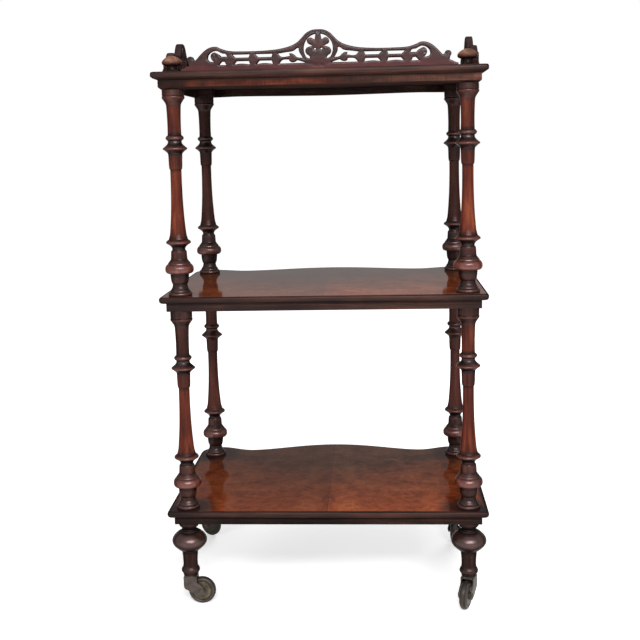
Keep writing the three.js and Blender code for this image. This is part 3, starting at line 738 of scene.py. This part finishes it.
def far_rail(inset):
    outer = SIDE - inset
    inner = [BLOCK_X * (2 * i / INNER_STEPS - 1) for i in range(INNER_STEPS + 1)]
    return [(outer, BLOCK_Y), *far_side(inset), (-outer, BLOCK_Y), (-BLOCK_X, BLOCK_Y),
            *((x, far_edge(x, RAIL_INNER)) for x in inner), (BLOCK_X, BLOCK_Y)]


def side_rail(side):
    def outline(inset):
        outer, inner, end = SIDE - inset, SIDE - RAIL_INNER, BLOCK_Y - JOINT_GAP
        points = [(inner, -end), (outer, -end), (outer, end), (inner, end)]
        return points if side > 0 else [(-x, y) for x, y in reversed(points)]
    return outline


RAILS = {"near": near_rail, "far": far_rail, "left": side_rail(-1), "right": side_rail(1)}


def is_outer(point):
    """Whether an outline point lies on a rail's show face."""
    x, y = abs(point[0]), point[1]
    on_side = abs(x - (SIDE - APRON_INSET)) < ON_FACE
    on_near = abs(y + NEAR - APRON_INSET) < ON_FACE
    on_far = y > far_edge(min(x, LOBE_X), APRON_INSET) - ON_FACE
    from_lobe = hypot(x - LOBE_X, y - LOBE_Y)
    on_lobe = x > LOBE_X and y > LOBE_Y and from_lobe > LOBE_RADIUS - APRON_INSET - ON_FACE
    return on_side or on_near or on_far or on_lobe


def rail_piece(tier, name, outline, top):
    is_top = tier == "top"
    high = FRIEZE_HIGH - (FAR_LIFT if name == "far" else 0) if is_top else APRON_HIGH + APRON_LAP
    low = top - high
    front = outline(APRON_INSET)
    count = len(front)
    veneer, plain = range(2)
    rings = [(front, low), (front, top)]
    if is_top:
        rings = [(outline(APRON_INSET + CHAMFER_DEEP), low), (front, low + CHAMFER_HIGH), (front, top)]
    shape = loft(rings)
    face_slots = [plain] * len(shape[1])
    if is_top:
        for k in range(count):
            if is_outer(front[k]) and is_outer(front[(k + 1) % count]):
                face_slots[count + k] = veneer
    dark = EDGE_Y
    if name in ("near", "far"):
        dark = EDGE_LOW_SHADED if tier == "bottom" else EDGE_X
    slot = "crossbanded_walnut" if is_top else "dark_walnut"
    node_name = f"{tier}_{name}_rail"
    piece = make_piece(node_name, shape, "stand", slot, [node_name], [FRIEZE, dark], face_slots, sharp=40)
    soften(piece, RAIL_BEVEL)


def add_tiers():
    for tier, top in TIERS.items():
        board_piece(tier, top)
        under = top - (TOP_THICK if tier == "top" else BOARD_THICK)
        for name, outline in RAILS.items():
            rail_piece(tier, name, outline, under)


# Fretwork: outlines as shares of the crest's height, as in the solids, rounded between their corners
CREST_TOP = [
    (0, 1), (0.16, 0.985), (0.31, 0.91), (0.43, 0.79), (0.53, 0.695), (0.66, 0.62), (0.86, 0.557),
    (1.1, 0.515),
]
SCROLL_TOP = [
    (1.6, 0.49), (1.28, 0.51), (1.08, 0.57), (0.96, 0.62), (0.79, 0.605), (0.66, 0.535), (0.54, 0.43),
    (0.41, 0.29), (0.36, 0.3), (0.335, 0.365), (0.27, 0.39), (0.205, 0.365), (0.18, 0.3), (0.212, 0.231),
    (0.225, 0.155), (0.16, 0.13), (0.07, 0.085), (0, 0.065),
]
ROUNDEL_RADIUS, ROUNDEL_HIGH = 0.379, 0.521
PALMETTE = [
    (0.232, 0.262), (0.216, 0.3), (0.25, 0.343), (0.312, 0.39), (0.334, 0.46), (0.305, 0.53), (0.24, 0.562),
    (0.165, 0.58), (0.16, 0.598), (0.21, 0.62), (0.272, 0.658), (0.294, 0.712), (0.262, 0.77), (0.19, 0.797),
    (0.125, 0.765), (0.09, 0.742), (0.078, 0.8), (0.066, 0.872),
]
# Circles, as (along, up, radius); the last two are measured from the plate's end
EYES = (0.083, 0.512, 0.026)
SCROLL_EYE = (0.895, 0.378, 0.06)
BALL = (0.272, 0.3, 0.045)
RIM_END, RIM_STEPS, EYE_STEPS = -pi / 5, 12, 10
RING_GAP = [
    (0.857, 0.443), (0.643, 0.479), (0.55, 0.543), (0.507, 0.543), (0.5, 0.457), (0.45, 0.357),
    (0.407, 0.286), (0.55, 0.307), (0.62, 0.37), (0.69, 0.407), (0.757, 0.407), (0.736, 0.343),
]
LEAF_GAP = [
    (0.76, 0.26), (0.755, 0.215), (0.7, 0.185), (0.61, 0.195), (0.55, 0.235), (0.45, 0.205), (0.32, 0.158),
]
SCROLL_GAP = [
    (0.88, 0.235), (0.765, 0.26), (0.72, 0.315), (0.735, 0.4), (0.79, 0.47), (0.88, 0.515), (0.95, 0.52),
    (1.09, 0.457), (1.19, 0.435), (1.235, 0.365), (1.08, 0.365), (1.04, 0.41), (0.915, 0.482),
    (0.84, 0.455), (0.803, 0.385), (0.82, 0.31),
]
SCROLL_FOOT = [(1.007, 0.155), (1.093, 0.243), (1.164, 0.238), (1.207, 0.15)]
FIRST_KNOT, LAST_KNOT, KNOT_PITCH = 1.114, 1.307, 0.59
KNOT_TOP, KNOT_ABOVE, KNOT_BELOW, KNOT_FOOT = 0.062, 0.15, 0.17, 0.092
BACK_RAIL, BACK_STEM = 0.072, 0.104
RAIL_UNDER, STEM_TOP, STEM_UNDER, ARCH, BASE_TOP = 0.415, 0.33, 0.245, 0.178, 0.155
ROUND_CORNER, CRISP_CORNER, STRAP_CORNER = 48, 30, 60
PLATE_STEP, GAP_STEP, STRAP_STEP = 1.1, 0.9, 1.6
TINY = 1e-9
CHUNK = 400


def gap_outlines(end):
    """One half's openings, in shares, and the turn that counts as a corner in each."""
    span = end - LAST_KNOT - FIRST_KNOT
    steps = round(span / KNOT_PITCH)
    knots = [FIRST_KNOT + i * span / max(steps, 1) for i in range(steps + 1)]
    from_end = lambda points: [(end - x, z) for x, z in points]
    outlines = [
        [*RING_GAP, (knots[0] - KNOT_ABOVE, STEM_TOP), (knots[0] - KNOT_TOP, RAIL_UNDER)],
        [*LEAF_GAP, (knots[0] - KNOT_FOOT, BASE_TOP), (knots[0] - KNOT_BELOW, STEM_UNDER)],
        from_end(SCROLL_GAP), from_end(SCROLL_FOOT),
    ]
    knotted = []
    for a, b in zip(knots[:-1], knots[1:]):
        knotted.append([(a + BACK_RAIL, RAIL_UNDER), (b - KNOT_TOP, RAIL_UNDER),
                        (b - KNOT_ABOVE, STEM_TOP), (a + BACK_STEM, STEM_TOP)])
        knotted.append([(a + BACK_STEM, STEM_UNDER), (b - KNOT_BELOW, STEM_UNDER),
                        (b - KNOT_FOOT, BASE_TOP), ((a + b) / 2, ARCH), (a + BACK_RAIL, BASE_TOP)])
    leaf_angle = acos(PALMETTE[-1][0] / ROUNDEL_RADIUS)
    rim = arc(0, ROUNDEL_HIGH, ROUNDEL_RADIUS, leaf_angle, RIM_END, RIM_STEPS)
    outlines.append([*rim, *PALMETTE])
    outlines.append(arc(*EYES, 0, 2 * pi, EYE_STEPS)[:-1])
    return [*((gap, ROUND_CORNER) for gap in outlines), *((gap, CRISP_CORNER) for gap in knotted)]


def rounded_loop(points, spacing, corner):
    """A closed loop through the points, curved except where it turns by more than corner degrees."""
    points = [np.array(p, float) for p in points]
    count = len(points)
    sharp = []
    for i in range(count):
        a, b = points[i] - points[i - 1], points[(i + 1) % count] - points[i]
        turn = abs(degrees(atan2(a[0] * b[1] - a[1] * b[0], a @ b)))
        sharp.append(turn > corner)
    dense = []
    for i in range(count):
        p0, p1 = points[i - 1], points[i]
        p2, p3 = points[(i + 1) % count], points[(i + 2) % count]
        chord = np.linalg.norm(p2 - p1)
        m1 = (p2 - p1) if sharp[i] else tangent(p0, p1, p2, chord)
        m2 = (p2 - p1) if sharp[(i + 1) % count] else tangent(p1, p2, p3, chord)
        for t in np.linspace(0, 1, max(1, round(chord / spacing)), endpoint=False):
            dense.append(hermite(t, p1, m1, p2, m2))
    return np.array(dense)


def unit(way):
    return way / max(np.linalg.norm(way), TINY)


def tangent(before, at, after, chord):
    """Tangent at a point, scaled to a span of the given length."""
    return unit(unit(at - before) + unit(after - at)) * chord


def distance_to(points, loops):
    """Distance of each point from the nearest loop."""
    best = np.full(len(points), np.inf)
    for loop in loops:
        a, b = loop, np.roll(loop, -1, axis=0)
        for start in range(0, len(a), CHUNK):
            p, q = a[start:start + CHUNK], b[start:start + CHUNK]
            d = q - p
            t = np.clip(((points[:, None] - p) * d).sum(2) / np.maximum((d * d).sum(1), TINY), 0, 1)
            near = p + t[..., None] * d
            best = np.minimum(best, np.linalg.norm(points[:, None] - near, axis=2).min(1))
    return best


def inside(points, loops):
    """Which points lie in the plate: inside its outline and outside its openings."""
    odd = np.zeros(len(points), bool)
    for loop in loops:
        for p, q in zip(loop, np.roll(loop, -1, axis=0)):
            crosses = (p[1] > points[:, 1]) != (q[1] > points[:, 1])
            with np.errstate(divide="ignore", invalid="ignore"):
                at = p[0] + (points[:, 1] - p[1]) * (q[0] - p[0]) / (q[1] - p[1])
            odd ^= crosses & (points[:, 0] < at)
    return odd


GALLERY_THICK, GALLERY_SUNK, ROUNDING = 13, 2.5, 2.1
# Rows of points beside each edge, as (distance, one in how many), and how much of it must be clear
OFFSETS, OFFSET_CLEAR = ((0.35, 1), (0.95, 1), (2.1, 2), (3.4, 2)), 0.9
GRID_PITCH, GRID_CLEAR = 3.5, 4.6
# The carving fades out towards the edges, and is black with dirt where it is deepest
CARVE_FROM, CARVE_FADE, CARVE_BLACK = 0.5, 0.6, 0.6
EDGE_DIRT, EDGE_DIRT_WIDE = 0.3, 1.2
QUIRK_RADIUS, QUIRK_DEEP, QUIRK_WIDE = 0.432, 0.55, 0.8
CURL_GROWTH, CURL_DEEP, CURL_WIDE = 0.35, 0.8, 0.75


def fret_plate(half, crest):
    """A fretted plate's points, triangles, half thickness and dirt, with softened and carved faces."""
    end = max(half / crest, FIRST_KNOT + LAST_KNOT)
    scaled = lambda points, side: [(side * x * half / end, z * crest) for x, z in points]
    right = scaled([*CREST_TOP, *((end - x, z) for x, z in SCROLL_TOP)], 1)
    right.append((half, -GALLERY_SUNK))
    left = [(-x, z) for x, z in reversed(right[1:])]
    loops = [rounded_loop([*left, *right], PLATE_STEP, ROUND_CORNER)]
    for outline, corner in gap_outlines(end):
        loops += [rounded_loop(scaled(outline, side), GAP_STEP, corner) for side in (-1, 1)]
    parts = [np.vstack(loops)]
    for offset, thin in OFFSETS:
        for loop in loops:
            along = np.roll(loop, -1, axis=0) - np.roll(loop, 1, axis=0)
            length = np.maximum(np.linalg.norm(along, axis=1), TINY)[:, None]
            step = np.stack([along[:, 1], -along[:, 0]], 1) / length * offset
            seeds = np.vstack([(loop + step)[::thin], (loop - step)[::thin]])
            seeds = seeds[inside(seeds, loops)]
            parts.append(seeds[distance_to(seeds, loops) > OFFSET_CLEAR * offset])
    rows, columns = np.arange(0, crest, GRID_PITCH), np.arange(-half, half, GRID_PITCH)
    grid = np.array([(x, z) for z in rows for x in columns])
    grid = grid[inside(grid, loops)]
    parts.append(grid[distance_to(grid, loops) > GRID_CLEAR])
    constraints, start = [], 0
    for loop in loops:
        constraints += [(start + i, start + (i + 1) % len(loop)) for i in range(len(loop))]
        start += len(loop)
    flat = [Vector(point) for point in np.vstack(parts)]
    made, _, triangles, *_ = delaunay_2d_cdt(flat, constraints, [], WHOLE_HULL, JOINED)
    made = np.array([tuple(point) for point in made])
    triangles = np.array(triangles)
    triangles = triangles[inside(made[triangles].mean(1), loops)]
    depth = distance_to(made, loops)
    rise = np.sqrt(np.maximum(ROUNDING**2 - (ROUNDING - np.minimum(depth, ROUNDING)) ** 2, 0))
    cut = carving(made, half, end, crest)
    cut *= np.clip((depth - CARVE_FROM) / CARVE_FADE, 0, 1)
    edge_dirt = np.clip((EDGE_DIRT_WIDE - depth) / EDGE_DIRT_WIDE, 0, 1) * EDGE_DIRT
    dirt = np.maximum(edge_dirt, np.clip(cut / CARVE_BLACK, 0, 1))
    return made, triangles, GALLERY_THICK / 2 - ROUNDING + rise - cut, dirt


def carving(points, half, end, crest):
    """How deep the faces are cut: a quirk round the roundel, a curl in each scroll and one in each ball."""
    x, z = np.abs(points[:, 0]) * end / half, points[:, 1] / crest
    off_quirk = np.hypot(x, z - ROUNDEL_HIGH) - QUIRK_RADIUS
    cut = QUIRK_DEEP * np.exp(-((off_quirk * crest / QUIRK_WIDE) ** 2))
    for centre, high, radius in (SCROLL_EYE, BALL):
        away = np.hypot(end - x - centre, z - high)
        turn = np.arctan2(z - high, end - x - centre) / (2 * pi)
        curl = radius * (1 + CURL_GROWTH * turn)
        cut = np.maximum(cut, CURL_DEEP * np.exp(-(((away - curl) * crest / CURL_WIDE) ** 2)))
    return cut


def stand_plate(name, plate, place):
    """Gives a plate its thickness; place turns (along, out, up) into the working frame."""
    made, triangles, out, dirt = plate
    count = len(made)
    vertices = [place(x, side * o, z) for side in (-1, 1) for (x, z), o in zip(made, out)]
    faces = [tuple(t) for t in triangles] + [tuple(count + i for i in reversed(t)) for t in triangles]
    edges = {(t[i], t[(i + 1) % 3]) for t in triangles for i in range(3)}
    faces += [(b, a, count + a, count + b) for a, b in sorted(edges) if (b, a) not in edges]
    piece = make_piece(name, (vertices, faces), "stand", "fretted_walnut", [name], [FRET], sharp=50,
                       shares={"recess": np.tile(dirt, 2)})
    piece.modifiers.new("normals", "WEIGHTED_NORMAL").keep_sharp = True


BACK_CREST, SIDE_CREST, SIDE_OUT = 70, 68, 17.5
# The galleries end clear of the finials: the back one of the neck, the side ones of the whole cap
FINIAL_RADIUS, FINIAL_CLEAR, NECK_SHARE = 18.5, 3.5, 0.69


def add_galleries():
    foot = TIERS["top"]
    back = fret_plate(HALF_X - (NECK_SHARE * FINIAL_RADIUS + FINIAL_CLEAR), BACK_CREST)
    stand_plate("back_gallery", back, lambda u, o, z: (u, -HALF_Y + o, foot + z))
    start = -HALF_Y + FINIAL_RADIUS + FINIAL_CLEAR
    side_half = (HALF_Y - start) / 2
    side_plate = fret_plate(side_half, SIDE_CREST)
    for name, side in (("left", -1), ("right", 1)):
        x = side * (HALF_X + SIDE_OUT)
        stand_plate(f"{name}_gallery", side_plate,
                    lambda u, o, z, x=x: (x - o, start + side_half + u, foot + z))


# Casters: profiles as (along the axis, radius), outlines of the fork as (along the trail, up)
WHEEL_RADIUS, TRAIL = 26.5, 21.5
CHEEK_INNER, CHEEK_OUTER = 10.8, 13.0
FORK_UNDER, FORK_TOP, FORK_HALF = 54, 56.4, 13
BOSS = arc(TRAIL, WHEEL_RADIUS, radius=7.5, start=-0.6 * pi, end=0.1 * pi, steps=12)
CHEEK = [
    (-FORK_HALF, FORK_TOP), (-12.6, 45), (-12.5, 37.5), (-10.6, 33), (-7.1, 31), (2, 25.8), (10.4, 20.9),
    *BOSS, (24, 36), (18.5, 40.5), (14.8, 43.2), (13.3, 46), (FORK_HALF, FORK_TOP),
]
CROWN = [(-FORK_HALF, FORK_UNDER), (FORK_HALF, FORK_UNDER), (FORK_HALF, FORK_TOP), (-FORK_HALF, FORK_TOP)]
WEB = [
    (-12.6, 54), (-12.4, 37), (-10.8, 33.2), (-7.6, 31.2), (-6.6, 32.6), (-8.4, 36.5), (-9, 41), (-8, 45.6),
    (-5, 47.8), (-1.4, 49), (2, 49.8), (4.4, 51.4), (6, 54),
]
PLATE = [
    (49.6, 3), (50.4, 5.6), (51.3, 8.2), (53.6, 8.6), (53.7, 4), (56.7, 4), (56.75, 13.2),
    (57.1, 14), (58.1, 14), (58.5, 13.6),
]
AXLE_HEAD = CHEEK_OUTER + 0.3
AXLE_HALF = [
    (-AXLE_HEAD - 1.6, 1.2), (-AXLE_HEAD - 1.5, 2.6), (-AXLE_HEAD - 1.1, 4), (-AXLE_HEAD - 0.4, 4.8),
    (-AXLE_HEAD, 5), (-AXLE_HEAD + 0.05, 3.2),
]
WHEEL_HALF = [
    (-10, 3.6), (-10, 6.2), (-9.6, 6.9), (-8, 7.3), (-7.4, 9), (-7, 12), (-6.8, 15.6), (-6.8, 16.8),
    (-6.5, 17.6), (-5.4, 18.2), (-5.2, 19.4), (-6, 20.2), (-6.6, 21.2), (-6.4, 22.6), (-5.6, 24.2),
    (-4.4, 25.5), (-2.6, 26.3), (0, 26.5),
]
# Radii on the wheel and the darkening at each: dirt in the hollows and on the tread, painted shade on the
# rounded rim
WHEEL_DIRT_AND_SHADE = [(3.6, 6.9, 7.4, 9, 15.6, 17, 18.2, 19.4, 20.2, 22.6, 24.2, 25.5, 26.3, 26.5),
              (0.5, 0.5, 0.8, 0.3, 0, 0.2, 0.6, 0.4, 0.1, 0.1, 0.6, 0.8, 0.5, 0.3)]
DISC_RADIUS = 18
# Painted shade over the far casters, given through their dirt share
FAR_CASTER_SHADE = 0.75


def brass_piece(line, part, body, shape, dirt, materials=(BRASS,), **settings):
    """A piece of a caster; dirt, which also holds painted shade, is one value, or one for each vertex."""
    name = f"{line}_caster_{part}"
    shares = {"recess": np.full(len(shape[0]), dirt)}
    return make_piece(name, shape, body, "old_brass", [name], materials, shares=shares, **settings)


def mirrored(half):
    """A profile and its mirror image; a point in the middle isn't given twice."""
    return half + [(-s, r) for s, r in reversed(half) if s]


def add_caster(line):
    wheel_at = Vector(joints[f"{line}_roll"]["pos_m"]) / MM
    way = (wheel_at - swivels[line]).to_2d().normalized()
    trail, axle = Vector((way.x, way.y, 0)), Vector((-way.y, way.x, 0))
    base = Vector((*post_at[line], 0))
    put = lambda along, across, up: base + trail * along + axle * across + Vector((0, 0, up))
    # Painted shade over the far casters, given through their dirt share
    caster_shade = FAR_CASTER_SHADE if line.startswith("far") else 0.0
    brass_piece(line, "plate", "stand", lathe(PLATE, base), caster_shade)
    hub = put(TRAIL, 0, WHEEL_RADIUS)
    profile = mirrored(WHEEL_HALF)
    # Dirt and painted shade on the wheel by radius, and the far casters' painted shade over all of it
    dirt = np.maximum(np.interp([r for _, r in profile], *WHEEL_DIRT_AND_SHADE), caster_shade)
    bands = [int(max(a[1], b[1]) > DISC_RADIUS) for a, b in zip(profile[:-1], profile[1:])]
    face_slots = [*np.repeat(bands, SEGMENTS).tolist(), 0, 0]
    brass_piece(line, "wheel", f"{line}_wheel", lathe(profile, hub, axle), np.repeat(dirt, SEGMENTS),
                [WHEEL_BRASS, BRASS], face_slots=face_slots, sharp=45)
    shape = lathe(mirrored(AXLE_HALF), hub, axle, AXLE_SEGMENTS)
    brass_piece(line, "axle", f"{line}_fork", shape, caster_shade)
    soften(brass_piece(line, "fork", f"{line}_fork", fork_shape(put), caster_shade), FORK_BEVEL)


def fork_shape(put):
    """Two cheeks that lean back to the axle bosses, with a plate and a coved web between them."""
    cheek = [(x, min(z, FORK_TOP)) for x, z in rounded_loop(CHEEK, STRAP_STEP, STRAP_CORNER)]
    vertices, faces = [], []
    for outline, low, high in (
        (cheek, -CHEEK_OUTER, -CHEEK_INNER), (cheek, CHEEK_INNER, CHEEK_OUTER),
        (CROWN, -CHEEK_INNER, CHEEK_INNER), (WEB, -CHEEK_INNER, CHEEK_INNER),
    ):
        start = len(vertices)
        vertices += [put(x, side, z) for side in (low, high) for x, z in outline]
        faces += [tuple(start + i for i in face) for face in tube_faces(2, len(outline))]
    return vertices, faces


# Setting
FLOOR_HALF = 12
# The metres over which the floor's glow grows, and from what to what it grows
GLOW_REACH, GLOW = (0.7, 2.4), (0.46, 0.85)
UNSEEN_SKY, SEEN_SKY = 0.24, 1.0
# Each lamp's name, place, aim, width, height, power and whether it shows in gloss
LAMPS = (
    ("key", (0.45, -2.45, 1.9), (0, 0, 0.6), 2.4, 0.6, 92, True),
    ("fill", (-1.6, -2.3, 1.2), (0, 0, 0.55), 1.3, 1.3, 25, False),
    ("back", (0.9, 2.6, 1.9), (0, 0, 0.6), 1.4, 1.4, 46, False),
    ("top", (-0.2, -0.3, 3.2), (0, 0, 0.5), 1.6, 1.6, 12, False),
)
CAMERA_AT = (106.405, -2077.397, 689.559 + TIERS["bottom"])


def seen_rays():
    """1 for rays that see the background: from the camera, off gloss or through glass."""
    path = node("ShaderNodeLightPath").outputs
    seen = maths("MAXIMUM", path["Is Camera Ray"], path["Is Glossy Ray"])
    return maths("MAXIMUM", seen, path["Is Transmission Ray"])


def add_setting():
    floor = bpy.data.meshes.new("floor")
    corners = [(x * FLOOR_HALF, y * FLOOR_HALF, 0) for x, y in ((-1, -1), (1, -1), (1, 1), (-1, 1))]
    floor.from_pydata(corners, [], [(0, 1, 2, 3)])
    ground = add_object("floor", floor)
    material, shader = new_material("floor_white", 0.9, specular=0.0)
    shader.inputs["Base Color"].default_value = (0.9, 0.9, 0.9, 1)
    shader.inputs["Emission Color"].default_value = (1, 1, 1, 1)
    away = node("ShaderNodeVectorMath", {0: stretched((1, 1, 1))}, operation="LENGTH").outputs["Value"]
    glow = remap(away, *GLOW_REACH, *GLOW, interpolation_type="SMOOTHSTEP")
    join(times(seen_rays(), glow), shader.inputs["Emission Strength"])
    floor.materials.append(material)
    for name, spot, aim, width, height, power, gloss in LAMPS:
        lamp = bpy.data.lights.new(name, "AREA")
        lamp.shape = "ELLIPSE"
        lamp.size, lamp.size_y = width, height
        lamp.energy = power
        holder = add_object(name, lamp)
        holder.location = spot
        holder.visible_glossy = gloss
        holder.rotation_euler = (Vector(aim) - Vector(spot)).to_track_quat("-Z", "Y").to_euler()
    world = bpy.data.worlds.new("studio")
    world.use_nodes = True
    bpy.context.scene.world = world
    trees.append(world.node_tree)
    background = world.node_tree.nodes["Background"]
    background.inputs["Color"].default_value = (1, 1, 1, 1)
    join(remap(seen_rays(), 0, 1, UNSEEN_SKY, SEEN_SKY), background.inputs["Strength"])


def add_camera():
    """The photograph's camera, solved from the posts, the tier edges and the turning's rings."""
    pitch, yaw, roll = 0.1258, 0.0585, -0.0206
    focal_px, image_px, centre_y_px = 1032.55, 640, 275
    camera = bpy.data.cameras.new("camera")
    camera.sensor_width = 36
    camera.lens = focal_px / image_px * camera.sensor_width
    camera.shift_y = (centre_y_px - image_px / 2) / image_px
    camera.clip_start, camera.clip_end = 0.05, 60
    cy, sy, cp, sp, cr, sr = (f(a) for a in (yaw, pitch, roll) for f in (cos, sin))
    base = np.array([[1, 0, 0], [0, 0, -1], [0, 1, 0]])
    turn_y = np.array([[cy, sy, 0], [-sy, cy, 0], [0, 0, 1]])
    turn_x = np.array([[1, 0, 0], [0, cp, -sp], [0, sp, cp]])
    turn_z = np.array([[cr, -sr, 0], [sr, cr, 0], [0, 0, 1]])
    right, down, forward = turn_z @ turn_x @ base @ turn_y
    matrix = Matrix(np.stack([right, -down, -forward], 1).tolist()).to_4x4()
    matrix.translation = frame_point(*CAMERA_AT)
    holder = add_object("camera", camera)
    holder.matrix_world = matrix
    bpy.context.scene.camera = holder


add_camera()
add_turnings()
add_tiers()
add_galleries()
for line_name in LINES:
    add_caster(line_name)
add_setting()
bpy.context.scene.view_settings.view_transform = "Standard"
